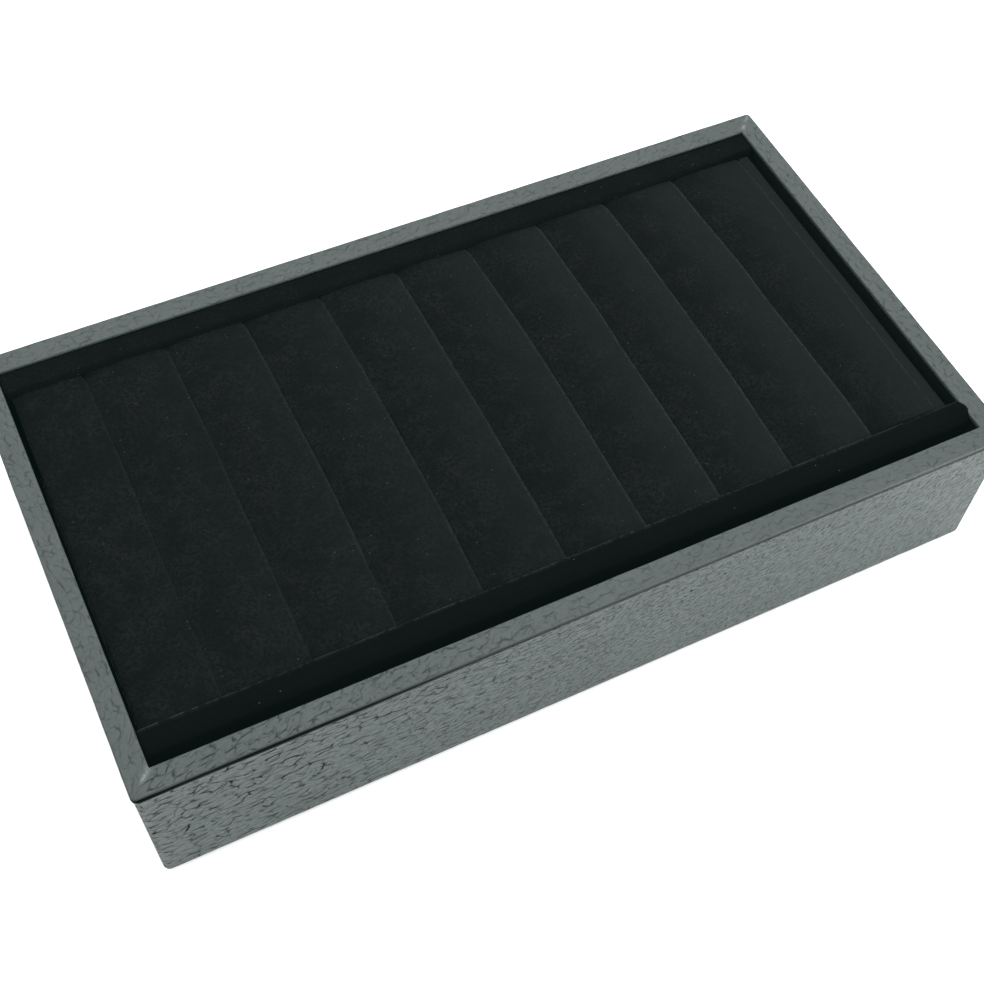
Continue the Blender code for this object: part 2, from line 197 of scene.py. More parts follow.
# Worn mitres: how pale each is, and the shares of the rim's width, from outside inwards, between which
# it is worn
MITRE_WEAR = {
    "front left": (1.0, 0.55, 1.0),
    "rear left": (0.8, 0.3, 0.9),
    "rear right": (0.9, 0.1, 0.8),
    "front right": (0, 0, 1),
}
MITRE_WEAR_REACH = 0.0012
RIM_STRENGTHS = {"front": 0.50, "left": 0.40, "right": 0.38, "rear": 0.34}

# Velvet: each one's colour, sheen and share of cells with lint, and the sizes of what is seen on all. The
# rails and the linings have the strips' velvet, darkened as painted shade.
VELVET = ((0.0054, 0.0056, 0.0058), 0.036, 0.40)
FRONT_RAIL_SHADED_VELVET = ((0.0006, 0.0006, 0.0006), 0.002, 0.15)
REAR_RAIL_SHADED_VELVET = ((0.0019, 0.0028, 0.0028), 0.003, 0.6)
LINING_SHADED_VELVET = ((0.0020, 0.0024, 0.0024), 0.04, 0.05)
SHEEN_TINT = (0.86, 0.97, 1.0)
# Painted sheen: colour added towards the right side of each strip's top, where it turns to the right
PAINTED_SHEEN_ADD = (0.0018, 0.0030, 0.0030)
# Painted highlight: the pale line along the front rail's rear edge and along each strip's right edge
HIGHLIGHT_COLOUR = (0.020, 0.024, 0.023)
LINT_COLOUR = (0.024, 0.029, 0.028)
PATCH_SIZE = 0.006
PILE_SIZE = 0.0008
HIGHLIGHT_PATCH_SIZE = 0.0012
LINT_CELL = 0.0026
LINT_RADIUS = 0.00022
PILE_DEPTH = 0.00012

# Velvet: its meshes
VELVET_LAYER = 0.0006
PILE_SWELL_SIZE = 0.011
PILE_HEIGHT = 0.00005
PILE_HEIGHT_SIZE = 0.0012
LINING_RADIUS = 0.0002
LINING_STEP = 0.004
RAIL_RADIUS = 0.0006
RAIL_STEP = 0.0006
RAIL_SWELL = 0.00014
RAIL_TOP_REACH = 0.004
RIPPLE = 0.00026
RIPPLE_LENGTH = 0.009
FINE_RIPPLE = 0.00010
FINE_RIPPLE_LENGTH = 0.0016
RIPPLE_REACH = 0.002
# Width of the painted highlight along the front rail's rear top edge
RAIL_HIGHLIGHT_REACH = 0.00040
BULGE_REACH = 0.005
BULGE_OUT = 0.0009
BULGE_UP = 0.0011
# How far the front edge of each rail falls, and within what reach
RAIL_FALLS = {"front": (0.0012, 0.0030), "rear": (0.0002, 0.0010)}
PANEL_SWELL = 0.00016
PANEL_OVERLAP = 0.0005
# How much painted sheen the end panel gets
PANEL_PAINTED_SHEEN = 0.85

# The padded strips
STRIP_COUNT = 10
STRIP_EDGE_RADIUS = 0.0003
STRIP_LIFT = 0.00035
STRIP_CROWN = 0.00040
CROWN_POWER = 2.3
STRIP_END_FALL = 0.0001
END_POWER = 12
STRIP_LEFT_FALL = 0.00060
FIRST_FALL = 0.35
NEXT_FALL = 0.07
LEFT_FALL_REACH = 0.004
STRIP_RIGHT_FALL = 0.00012
RIGHT_FALL_REACH = 0.0013
STRIP_OVERLAP = 0.00025
REAR_CORNER = 0.0030
REAR_CURL = 0.0007
REAR_STRETCH = 0.00025
STRIP_SWELL = 0.0005
STRIP_SWELL_SIZES = (0.013, 0.018)
SLOT_WAVE = 0.00055
SLOT_WAVE_LENGTH = 0.019
# Width and strength of the painted highlight along each strip's right edge
SLOT_HIGHLIGHT_REACH = 0.00032
LEFT_HIGHLIGHT = 0.06
HIGHLIGHT_RISE = 0.5
# The most painted sheen, on the rightmost strip's right side
STRIP_PAINTED_SHEEN = 0.75
FOAM_RADIUS = 0.0008
FOAM_STEP = 0.003
FOAM_CROWN = 0.0007
FIT_MARGIN = 0.006
FIT_CLOSE = 0.0001

# Boards, card, paper and foam
FIBREBOARD = ((0.20, 0.15, 0.10), (0.11, 0.078, 0.05), 0.0007)
GREY_CARD = ((0.18, 0.175, 0.16), (0.12, 0.118, 0.105), 0.0005)
BASE_PAPER = ((0.012, 0.0125, 0.0125), (0.007, 0.0075, 0.0075), 0.0004)
FIBRE_DEPTH = 0.00006
FLECK_CELL = 0.0022
FLECK_RADIUS = 0.0003
FOAM_PALE = (0.16, 0.16, 0.155)
# Painted shade in the foam's pores
FOAM_PORE_SHADE = (0.05, 0.05, 0.05)
FOAM_PORE = 0.0009
FOAM_PORE_DEPTH = 0.0003

# Seeds of the unevenness, so that it is the same each time
CREVICE_SEED = 91
WALL_SEED = 7
RIM_SEED = 40
RIPPLE_SEED = 71
RAIL_SEED = 50
PANEL_SEED = 53
SLOT_SEED = 12
STRIP_SEED = 20
PILE_SEED = 33

TABLE_SIZE = 256
NO_LENGTH = 1e-9
TRAY_LOW, TRAY_HIGH = CAD_BOX
HALF_LENGTH = TRAY_HIGH.x
HALF_DEPTH = TRAY_HIGH.y


def uneven(place_u, place_v, sizes, seed):
    """Smooth noise from -0.5 to 0.5 that changes over about the given sizes along u and v."""
    table = np.random.default_rng(seed).random((TABLE_SIZE, TABLE_SIZE))
    u, v = place_u / sizes[0], place_v / sizes[1]
    cell_u, cell_v = np.floor(u).astype(int), np.floor(v).astype(int)
    share_u, share_v = ramp(u - cell_u, 0, 1), ramp(v - cell_v, 0, 1)
    corners = [
        table[(cell_u + i) % TABLE_SIZE, (cell_v + j) % TABLE_SIZE]
        for i in (0, 1)
        for j in (0, 1)
    ]
    low = corners[0] + (corners[1] - corners[0]) * share_v
    high = corners[2] + (corners[3] - corners[2]) * share_v
    return low + (high - low) * share_u - 0.5


def ramp(values, low, high):
    """A smooth rise from 0 at low to 1 at high."""
    share = np.clip((values - low) / (high - low), 0, 1)
    return share * share * (3 - 2 * share)


def bell(distance, reach):
    """1 where the distance is zero, falling off within about the reach."""
    return np.exp(-((distance / reach) ** 2))


def new_mesh_object(name, points, quads, ends=()):
    """A mesh object from arrays of points and quads, with any further faces as lists of point numbers."""
    mesh = bpy.data.meshes.new(name)
    mesh.vertices.add(len(points))
    mesh.vertices.foreach_set("co", np.asarray(points, np.float32).ravel())
    loops = np.concatenate([np.asarray(quads).ravel()] + [np.asarray(face) for face in ends])
    sizes = np.array([4] * len(quads) + [len(face) for face in ends])
    mesh.loops.add(len(loops))
    mesh.loops.foreach_set("vertex_index", loops.astype(np.int32))
    mesh.polygons.add(len(sizes))
    mesh.polygons.foreach_set("loop_start", (np.cumsum(sizes) - sizes).astype(np.int32))
    mesh.update(calc_edges=True)
    mesh.validate()
    mesh.shade_smooth()
    made = bpy.data.objects.new(name, mesh)
    bpy.context.scene.collection.objects.link(made)
    return made


def set_attribute(piece, name, values):
    attribute = piece.data.attributes.new(name, "FLOAT", "POINT")
    attribute.data.foreach_set("value", np.asarray(values, np.float32).ravel())


def displace(piece, along_normal):
    """Moves each point of a mesh along its own normal."""
    count = len(piece.data.vertices)
    normals = np.zeros(count * 3, np.float32)
    points = np.zeros(count * 3, np.float32)
    piece.data.vertex_normals.foreach_get("vector", normals)
    piece.data.vertices.foreach_get("co", points)
    points += normals * np.repeat(np.asarray(along_normal, np.float32).ravel(), 3)
    piece.data.vertices.foreach_set("co", points)
    piece.data.update()


def finish_piece(piece, body, material, node):
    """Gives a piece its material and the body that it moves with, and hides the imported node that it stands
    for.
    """
    piece.data.materials.append(material)
    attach(piece, body)
    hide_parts(node)


# Materials


class Tree:
    """A short way to add and join the nodes of a material."""

    def __init__(
        self, name, roughness, specular=0.5, sheen=0.0, sheen_roughness=0.5, sheen_tint=(1, 1, 1)
    ):
        self.material = bpy.data.materials.new(name)
        self.material.use_nodes = True
        self.nodes = self.material.node_tree.nodes
        self.links = self.material.node_tree.links
        self.shader = self.nodes["Principled BSDF"]
        self.shader.inputs["Roughness"].default_value = roughness
        self.shader.inputs["Specular IOR Level"].default_value = specular
        self.shader.inputs["Sheen Weight"].default_value = sheen
        self.shader.inputs["Sheen Roughness"].default_value = sheen_roughness
        self.shader.inputs["Sheen Tint"].default_value = (*sheen_tint, 1)

    def put(self, socket, value):
        """Links a socket to the value, or sets it where the value is a number, a colour or a vector."""
        if isinstance(value, bpy.types.NodeSocket):
            self.links.new(value, socket)
        elif isinstance(value, tuple) and len(value) < len(socket.default_value):
            socket.default_value = (*value, 1)
        else:
            socket.default_value = value

    def object_place(self):
        return self.nodes.new("ShaderNodeTexCoord").outputs["Object"]

    def noise(self, size, detail=2, roughness=0.5, place=None, output="Fac"):
        """Noise that changes over about the given size, in metres unless the place is in other units."""
        texture = self.nodes.new("ShaderNodeTexNoise")
        self.put(texture.inputs["Vector"], place or self.object_place())
        texture.inputs["Scale"].default_value = 1 / size
        texture.inputs["Detail"].default_value = detail
        texture.inputs["Roughness"].default_value = roughness
        return texture.outputs[output]

    def specks(self, cell, radius, share):
        """Round spots of the given radius, one in a share of the cells of the given size."""
        texture = self.nodes.new("ShaderNodeTexVoronoi")
        self.put(texture.inputs["Vector"], self.object_place())
        texture.inputs["Scale"].default_value = 1 / cell
        near = self.ranged(texture.outputs["Distance"], 0.5 * radius / cell, radius / cell, 1, 0)
        lot = self.nodes.new("ShaderNodeSeparateColor")
        self.put(lot.inputs["Color"], texture.outputs["Color"])
        return self.product(near, self.math("GREATER_THAN", lot.outputs["Red"], 1 - share))

    def attribute(self, name, output="Fac"):
        node = self.nodes.new("ShaderNodeAttribute")
        node.attribute_name = name
        return node.outputs[output]

    def separated(self, vector):
        node = self.nodes.new("ShaderNodeSeparateXYZ")
        self.put(node.inputs[0], vector)
        return node.outputs

    def vector_math(self, operation, first, second):
        node = self.nodes.new("ShaderNodeVectorMath")
        node.operation = operation
        self.put(node.inputs[0], first)
        self.put(node.inputs[1], second)
        return node.outputs["Vector"]

    def ranged(self, value, low, high, to_low, to_high, smooth=False):
        node = self.nodes.new("ShaderNodeMapRange")
        node.interpolation_type = "SMOOTHSTEP" if smooth else "LINEAR"
        self.put(node.inputs["Value"], value)
        node.inputs["From Min"].default_value = low
        node.inputs["From Max"].default_value = high
        node.inputs["To Min"].default_value = to_low
        node.inputs["To Max"].default_value = to_high
        return node.outputs["Result"]

    def math(self, operation, first, second=0.0):
        node = self.nodes.new("ShaderNodeMath")
        node.operation = operation
        self.put(node.inputs[0], first)
        self.put(node.inputs[1], second)
        return node.outputs["Value"]

    def product(self, first, *others):
        for other in others:
            first = self.math("MULTIPLY", first, other)
        return first

    def mix(self, share, first, second):
        """The first colour where the share is 0, and the second where it is 1."""
        node = self.nodes.new("ShaderNodeMix")
        node.data_type = "RGBA"
        self.put(node.inputs[0], share)
        self.put(node.inputs[6], first)
        self.put(node.inputs[7], second)
        return node.outputs[2]

    def bump(self, height, depth):
        node = self.nodes.new("ShaderNodeBump")
        self.put(node.inputs["Height"], height)
        node.inputs["Distance"].default_value = depth
        return node.outputs["Normal"]

    def done(self, colour, roughness=None, normal=None):
        self.put(self.shader.inputs["Base Color"], colour)
        if roughness is not None:
            self.put(self.shader.inputs["Roughness"], roughness)
        if normal is not None:
            self.put(self.shader.inputs["Normal"], normal)
        return self.material


def grain_cells(tree, place, scale, width):
    """(edge distance, crack) of one size of cell: cracks run mostly along the grain and break off; those
    across it are weaker, as their painted shade stands for light from above, which darkens the level cracks
    most.
    """
    scaled = tree.vector_math("MULTIPLY", place, scale)
    edge = tree.nodes.new("ShaderNodeTexVoronoi")
    edge.feature = "DISTANCE_TO_EDGE"
    middle = tree.nodes.new("ShaderNodeTexVoronoi")
    for texture in (edge, middle):
        texture.voronoi_dimensions = "2D"
        tree.put(texture.inputs["Vector"], scaled)
        texture.inputs["Scale"].default_value = 1
    offset = tree.separated(tree.vector_math("SUBTRACT", middle.outputs["Position"], scaled))
    across = tree.math("ABSOLUTE", offset[1])
    total = tree.math("ADD", tree.math("ABSOLUTE", offset[0]), across)
    # Weaker across the grain: painted shade from light above falls most in the level cracks
    along_grain = tree.ranged(tree.math("DIVIDE", across, total), 0.2, 0.6, CROSS_CRACK, 1)
    broken = tree.ranged(tree.noise(0.9, 1, place=scaled), *CRACK_BREAKS, BROKEN_CRACK, 1)
    line = tree.ranged(edge.outputs["Distance"], 0.2 * width, width, 1, 0, smooth=True)
    return edge.outputs["Distance"], tree.product(line, along_grain, broken)


def leatherette_material():
    """Grey-black leatherette with broken cracks between its cells, pale where it is scuffed. The cracks, and
    the crevice and edges that the shade attribute marks, are darkened as painted shade and lose their gloss.
    """
    tree = Tree("leatherette", 0.5)
    grain = tree.attribute("grain", "Vector")
    strength = tree.separated(grain)[2]
    fine = tree.attribute("fine")
    flat = tree.vector_math("MULTIPLY", grain, (1, 1, 0))
    shift = tree.vector_math("SUBTRACT", tree.noise(2.0, 2, place=flat, output="Color"), (0.5, 0.5, 0.5))
    place = tree.vector_math("ADD", flat, tree.vector_math("MULTIPLY", shift, (1.6, 1.4, 0)))
    broad_edge, broad = grain_cells(tree, place, BROAD_SCALE, BROAD_CRACK)
    small_edge, small = grain_cells(tree, place, SMALL_SCALE, SMALL_CRACK)
    broad = tree.product(broad, tree.ranged(fine, 0, 1, 1, 0.45))
    small = tree.product(small, tree.ranged(fine, 0, 1, 0.35, 0.95))
    crack = tree.product(tree.math("MAXIMUM", broad, small), strength, CRACK_BOOST)
    crack = tree.math("MINIMUM", crack, 1.0)
    # Painted shade: in the cracks, and wherever the shade attribute marks the crevice and the rim's edge
    hidden = tree.math("MAXIMUM", crack, tree.attribute("shade"))

    tone = tree.ranged(tree.noise(TONE_SIZE, detail=3), 0.3, 0.7, 0, 1)
    colour = tree.mix(tone, LEATHER_DARK, LEATHER_PALE)
    pores = tree.noise(PORE_SIZE, detail=3, roughness=0.65)
    colour = tree.mix(tree.ranged(pores, 0.35, 0.65, 0.3, 0), colour, PORE_COLOUR)
    colour = tree.mix(hidden, colour, CRACK_SHADE_COLOUR)
    patchy = tree.ranged(tree.noise(SCUFF_SIZE, detail=3), 0.40, 0.55, 0.15, 1)
    scuff = tree.product(tree.attribute("wear"), patchy)
    colour = tree.mix(scuff, colour, SCUFF_COLOUR)
    roughness = tree.ranged(tree.noise(GLOSS_SIZE, detail=2), 0.3, 0.7, 0.44, 0.58)
    roughness = tree.math("ADD", roughness, tree.product(hidden, 0.4))
    # Painted shade loses its gloss too
    tree.put(tree.shader.inputs["Specular IOR Level"], tree.ranged(hidden, 0, 1, 0.5, 0.02))
    broad_pillow = tree.ranged(broad_edge, 0, 0.5, 0, 0.6)
    small_pillow = tree.ranged(small_edge, 0, 0.5, 0, 0.25)
    pillow = tree.math("ADD", broad_pillow, small_pillow)
    height = tree.math("ADD", pillow, tree.product(pores, 0.3))
    height = tree.math("SUBTRACT", height, crack)
    return tree.done(colour, roughness, tree.bump(tree.product(height, strength), GRAIN_DEPTH))


def velvet_material(name, colour, sheen, lint):
    """Short black pile with lint in a share of its cells, lighter along edges as a painted highlight and
    towards the strips' right sides as painted sheen.
    """
    tree = Tree(name, 0.95, specular=0.05, sheen=sheen, sheen_roughness=0.34, sheen_tint=SHEEN_TINT)
    dark = tuple(0.25 * part for part in colour)
    painted_sheen_colour = tuple(part + more for part, more in zip(colour, PAINTED_SHEEN_ADD))
    patches = tree.ranged(tree.noise(PATCH_SIZE, detail=4), 0.35, 0.65, 0.75, 0)
    base = tree.mix(patches, colour, dark)
    pile = tree.noise(PILE_SIZE, detail=3, roughness=0.7)
    base = tree.mix(tree.ranged(pile, 0.40, 0.60, 0, 1), base, dark)
    # Painted sheen where a strip's top turns to the right
    base = tree.mix(tree.attribute("painted_sheen"), base, painted_sheen_colour)
    # Painted highlight along edges, broken into patches
    patchy = tree.ranged(tree.noise(HIGHLIGHT_PATCH_SIZE, detail=3), 0.38, 0.55, 0.15, 1)
    painted_highlight = tree.product(tree.attribute("painted_highlight"), patchy)
    base = tree.mix(painted_highlight, base, HIGHLIGHT_COLOUR)
    base = tree.mix(tree.specks(LINT_CELL, LINT_RADIUS, lint), base, LINT_COLOUR)
    return tree.done(base, None, tree.bump(pile, PILE_DEPTH))


def board_material(name, pale, dark, fibre_size):
    """Raw board, card or paper: fibres in two tones, with darker flecks."""
    tree = Tree(name, 0.85, specular=0.3)
    fibres = tree.noise(fibre_size, detail=4, roughness=0.65)
    colour = tree.mix(tree.ranged(fibres, 0.32, 0.68, 0, 1), dark, pale)
    flecks = tree.specks(FLECK_CELL, FLECK_RADIUS, 0.5)
    colour = tree.mix(flecks, colour, tuple(part * 0.5 for part in dark))
    return tree.done(colour, tree.ranged(fibres, 0.3, 0.7, 0.78, 0.95), tree.bump(fibres, FIBRE_DEPTH))


def foam_material():
    tree = Tree("foam", 0.95, specular=0.2)
    pores = tree.nodes.new("ShaderNodeTexVoronoi")
    tree.put(pores.inputs["Vector"], tree.object_place())
    pores.inputs["Scale"].default_value = 1 / FOAM_PORE
    # Painted shade in the middle of each pore
    colour = tree.mix(tree.ranged(pores.outputs["Distance"], 0.1, 0.5, 1, 0), FOAM_PALE, FOAM_PORE_SHADE)
    return tree.done(colour, None, tree.bump(pores.outputs["Distance"], FOAM_PORE_DEPTH))


def floor_material():
    tree = Tree("floor", 0.9, specular=0.2)
    return tree.done(tree.mix(tree.noise(FLOOR_CLOUDS, detail=1), FLOOR_COLOUR, FLOOR_PALER))


# The leatherette round the tray


def half_sizes(side):
    """Half the tray's size along a side and across it."""
    return (HALF_DEPTH, HALF_LENGTH) if side in ("left", "right") else (HALF_LENGTH, HALF_DEPTH)


def side_columns(side, corner_radius):
    """(turn, share, u) of each column along a side: its angle at a corner, place and unrolled length."""
    length = 2 * half_sizes(side)[0]
    near = np.arange(END_STEP, END_REACH, END_STEP)
    middle = np.linspace(END_REACH, length - END_REACH, round(length / ALONG_STEP))
    straight = np.concatenate([near, middle, (length - near)[::-1]]) / length
    left = np.radians(np.linspace(225, 270, CORNER_COLUMNS))
    right = np.radians(np.linspace(270, 315, CORNER_COLUMNS))
    turn = np.concatenate([left, np.full(len(straight), left[-1]), right])
    share = np.concatenate([np.zeros(len(left)), straight, np.ones(len(right))])
    u = SIDES[side][1] + corner_radius * (turn - turn[0]) + share * (length - 2 * corner_radius)
    return turn, share, u


def sweep(side, inset, height, columns, corner_radius, outer, ratios=(1, 1)):
    """World points of rows of (inset, height), each swept along a side to its mitres.

    The ratios are the widths of the sides before and after over this side's own, which turn the mitres.
    """
    turn, share, _ = columns
    half_along, half_across = half_sizes(side)
    radius = np.maximum(corner_radius - (inset - outer), LEAST_RADIUS)
    left_centre = -half_along + inset * ratios[0] + radius + MITRE_GAP
    right_centre = half_along - inset * ratios[1] - radius - MITRE_GAP
    x = left_centre + (right_centre - left_centre) * share + radius * np.cos(turn)
    y = -half_across + inset + radius + radius * np.sin(turn)
    z = np.broadcast_to(height, x.shape)
    angle = math.radians(SIDES[side][0])
    cos, sin = math.cos(angle), math.sin(angle)
    return np.stack([x * cos - y * sin, x * sin + y * cos, z], axis=-1)


def loop_quads(rows, columns):
    """Quads of a grid whose rows close round on themselves, and the two end faces."""
    numbers = np.arange(rows * columns).reshape(rows, columns)
    following = np.roll(numbers, -1, axis=0)
    quads = np.stack([numbers[:, :-1], numbers[:, 1:], following[:, 1:], following[:, :-1]], axis=-1)
    return quads.reshape(-1, 4), [numbers[:, 0].tolist(), numbers[::-1, -1].tolist()]


class Section:
    """The (inset, height) rows of a closed section, each a value for every column."""

    def __init__(self, columns):
        self.one = np.ones(columns)
        self.insets, self.heights = [], []

    def add(self, inset, height):
        self.insets.append(inset * self.one)
        self.heights.append(height * self.one)

    def line(self, inset, height, next_inset, next_height, rows):
        """Evenly spaced rows towards the next place, without that place itself."""
        for share in np.arange(rows) / rows:
            self.add(inset + (next_inset - inset) * share, height + (next_height - height) * share)

    def arc(self, inset, height, radius, start_deg, stop_deg, rows):
        """Part of a circle round (inset, height), without its last point."""
        for turn in np.radians(np.linspace(start_deg, stop_deg, rows + 1)[:-1]):
            self.add(inset + radius * np.cos(turn), height + radius * np.sin(turn))

    def arrays(self):
        return np.array(self.insets), np.array(self.heights)


def crevice(side, share):
    """How far open the crevice under the rim is along a side, from 0 to 1."""
    if side == "front":
        wave = CREVICE_WAVE_DEPTH * uneven(share, np.zeros(len(share)), (1 / CREVICE_WAVES, 1), CREVICE_SEED)
        wavy = np.minimum(1, 0.95 + wave * ramp(share, 0, CORNER_SHARE))
        return (1 - ramp(share, FRONT_OPEN_SHARE, FRONT_SHUT_SHARE)) * wavy
    if side == "left":
        return ramp(share, LEFT_SHUT_SHARE, 1)
    return np.zeros(len(share))


def wrap_section(opened, top, bottom, outer):
    """(insets, heights, how many rows show) of the leatherette on a wall, and the flare below its crest."""
    section = Section(len(opened))
    crest = top - CREVICE_DROP * opened
    flare = FLARE + OPEN_FLARE * opened
    arc_inset = outer - flare + CREST_RADIUS
    section.line(outer + TURN_OVER, crest, arc_inset, crest, 5)
    section.arc(arc_inset, crest - CREST_RADIUS, CREST_RADIUS, 90, 180, 4)
    face_top = crest - CREST_RADIUS
    face_bottom = bottom + BOTTOM_RADIUS
    falls = np.concatenate([np.linspace(0, FLARE_SHARE, 8)[:-1], np.linspace(FLARE_SHARE, 1, 40)[:-1]])
    for fall in falls:
        height = face_top + (face_bottom - face_top) * fall
        section.add(outer - flare * bell(face_top - height, FLARE_REACH), height)
    section.arc(outer + BOTTOM_RADIUS, face_bottom, BOTTOM_RADIUS, 180, 270, 5)
    section.line(outer + BOTTOM_RADIUS, bottom, outer + TURN_IN, bottom, 5)
    shown = len(section.insets)
    inner = outer + WRAP_LAYER
    section.add(outer + TURN_IN, bottom)
    section.add(outer + TURN_IN, bottom + WRAP_LAYER)
    section.add(inner + BOTTOM_RADIUS, bottom + WRAP_LAYER)
    section.add(inner, bottom + BOTTOM_RADIUS)
    section.add(inner, top - BOTTOM_RADIUS)
    section.add(inner + WRAP_LAYER, top - WRAP_LAYER)
    section.add(outer + TURN_OVER, top - WRAP_LAYER)
    return *section.arrays(), shown


def rim_section(lift, width, thickness):
    """(insets, heights, how many rows show) of a rim cap, its lower outer edge lifted in each column."""
    section = Section(len(lift))
    section.add(RIM_UNDERCUT, 0)
    section.add(RIM_UNDERCUT / 2, lift * 0.7)
    section.arc(RIM_LOWER_RADIUS, lift + RIM_LOWER_RADIUS, RIM_LOWER_RADIUS, 270, 180, 2)
    radius = np.minimum(RIM_EDGE_RADIUS, thickness - lift - 2 * RIM_LOWER_RADIUS)
    section.arc(radius, thickness - radius, radius, 180, 90, 6)
    inner_edge = width - RIM_INNER_RADIUS
    section.line(radius, thickness, inner_edge, thickness, 8)
    section.arc(inner_edge, thickness - RIM_INNER_RADIUS, RIM_INNER_RADIUS, 90, 0, 4)
    section.add(width, thickness / 2)
    shown = len(section.insets)
    section.add(width, 0)
    section.add(width * 0.6, 0)
    return *section.arrays(), shown


def set_grain(piece, insets, heights, u, look):
    """Stores where each point lies in the grain's pattern, counted in cells along and across it."""
    steps = np.hypot(np.diff(insets, axis=0), np.diff(heights, axis=0))
    v = np.concatenate([np.zeros((1, len(u))), np.cumsum(steps, axis=0)])
    step = np.diff(u, prepend=u[:1])
    along = look["start"] + u[0] / CELL_LENGTH + np.cumsum(step / look["length"])
    across = v / look["height"] - np.cumsum(step * np.tan(look["slant"]) / look["height"])
    strength = np.broadcast_to(look["strength"], v.shape)
    values = np.stack([np.broadcast_to(along, v.shape), across, strength], -1)
    attribute = piece.data.attributes.new("grain", "FLOAT_VECTOR", "POINT")
    attribute.data.foreach_set("vector", values.astype(np.float32).ravel())
    set_attribute(piece, "fine", np.broadcast_to(look["fine"], v.shape))
    return v


def pucker(piece, u, v, visible, seed):
    """Slight unevenness of the glued leatherette, none at the mitres or where it is hidden."""
    height = PUCKER * uneven(u, v, PUCKER_SIZES, seed)
    height = height + FINE_PUCKER * uneven(u, v, FINE_PUCKER_SIZES, seed)
    from_end = np.minimum(u - u[0], u[-1] - u)
    displace(piece, height * visible * ramp(from_end, 0, PUCKER_FADE))


def shown_rows(insets, shown):
    return (np.arange(len(insets)) < shown)[:, None]


def wrap_look(side, share, depth):
    """The leatherette's pattern on a wall: on the front it turns into fine slanting streaks to the right."""
    look = dict(WALL_GRAIN)
    if side == "front":
        to_right = ramp(share, *SLANTING_SHARES)
        finer = ramp(share, *FINER_SHARES)
        look["slant"] = LEFT_SLANT + SLANT_TURN * to_right
        look["fine"] = LEFT_FINENESS + FINENESS_RISE * finer
        look["length"] = CELL_LENGTH * (1 - FINER_LENGTH_LOSS * finer)
        look["height"] = CELL_HEIGHT * (1 - FINER_HEIGHT_LOSS * finer)
        look["strength"] = (1 - RIGHT_FADE * to_right) * (1 - LOW_FADE * ramp(depth, LOW_FADE_START, 1))
    return look


def add_wrap(side):
    low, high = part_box(f"{side}_wrap")
    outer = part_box("front_wrap")[0].y - TRAY_LOW.y
    columns = side_columns(side, WRAP_CORNER_RADIUS)
    _, share, u = columns
    opened = crevice(side, share)
    insets, heights, shown = wrap_section(opened, high.z, low.z, outer)
    points = sweep(side, insets, heights, columns, WRAP_CORNER_RADIUS, outer)
    name = f"{side}_wrap_leatherette"
    piece = new_mesh_object(name, points.reshape(-1, 3), *loop_quads(*insets.shape))
    depth = (high.z - heights) / (high.z - low.z)
    v = set_grain(piece, insets, heights, u, wrap_look(side, share, depth))
    pucker(piece, u, v, shown_rows(insets, shown), WALL_SEED)
    # Painted shade in the crevice under the rim, darkest where it stands open
    below_crest = high.z - CREVICE_DROP * opened - heights
    crevice_shade = 1 - ramp(below_crest / CREST_RADIUS, 0.3, 1.3)
    set_attribute(piece, "shade", crevice_shade * (0.5 + 0.5 * opened))
    finish_piece(piece, "case", leatherette, f"{side}_wrap")


def rim_width(side):
    low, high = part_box(f"{side}_rim")
    return min(high.x - low.x, high.y - low.y)


def mitre_wear(side, insets, u, width):
    worn = np.zeros(insets.shape)
    for corner, from_end in zip(MITRE_ENDS[side], (u - u[0], u[-1] - u)):
        amount, start, stop = MITRE_WEAR[corner]
        share = insets / width
        band = ramp(share, start - 0.1, start + 0.1) * (1 - ramp(share, stop, stop + 0.15))
        worn = np.maximum(worn, amount * band * bell(from_end, MITRE_WEAR_REACH))
    return worn


def rim_look(side, place, share):
    """The leatherette's pattern on a rim: fainter than on the walls, most so at the front's right."""
    strength = RIM_STRENGTHS[side]
    if side == "front":
        strength = strength * (RIM_LEFT_STRENGTH - RIM_STRENGTH_LOSS * ramp(share, *RIM_FADE_SHARES))
    return {
        "slant": RIM_SLANT,
        "length": RIM_LENGTH_SHARE * CELL_LENGTH,
        "height": RIM_HEIGHT_SHARE * CELL_HEIGHT,
        "fine": RIM_FINENESS,
        "strength": strength,
        "start": RIM_START_CELL + RIM_NEXT_CELLS * place,
    }


def add_rim(side):
    order = list(SIDES)
    place = order.index(side)
    low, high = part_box(f"{side}_rim")
    width = rim_width(side)
    ratios = [rim_width(order[place - 1]) / width, rim_width(order[(place + 1) % len(order)]) / width]
    columns = side_columns(side, RIM_CORNER_RADIUS)
    _, share, u = columns
    lift = CLOSED_LIFT + CREVICE_LIFT * crevice(side, share)
    insets, heights, shown = rim_section(lift, width, high.z - low.z)
    points = sweep(side, insets, heights + low.z, columns, RIM_CORNER_RADIUS, 0, ratios)
    piece = new_mesh_object(f"{side}_rim_leatherette", points.reshape(-1, 3), *loop_quads(*insets.shape))
    v = set_grain(piece, insets, heights, u, rim_look(side, place, share))
    visible = shown_rows(insets, shown)
    pucker(piece, u, v, visible, RIM_SEED + place)
    set_attribute(piece, "wear", mitre_wear(side, insets, u, width) * visible)
    # Painted shade under the rim's lifted lower edge and on its rounded outer edge
    under = (heights < lift + 0.5 * RIM_LOWER_RADIUS) & (insets < 0.9 * width)
    edge = RIM_EDGE_SHADE * (1 - ramp(insets, 0, 0.5 * RIM_EDGE_RADIUS))
    set_attribute(piece, "shade", np.maximum(under, edge))
    finish_piece(piece, "case", leatherette, f"{side}_rim")


# Velvet pieces


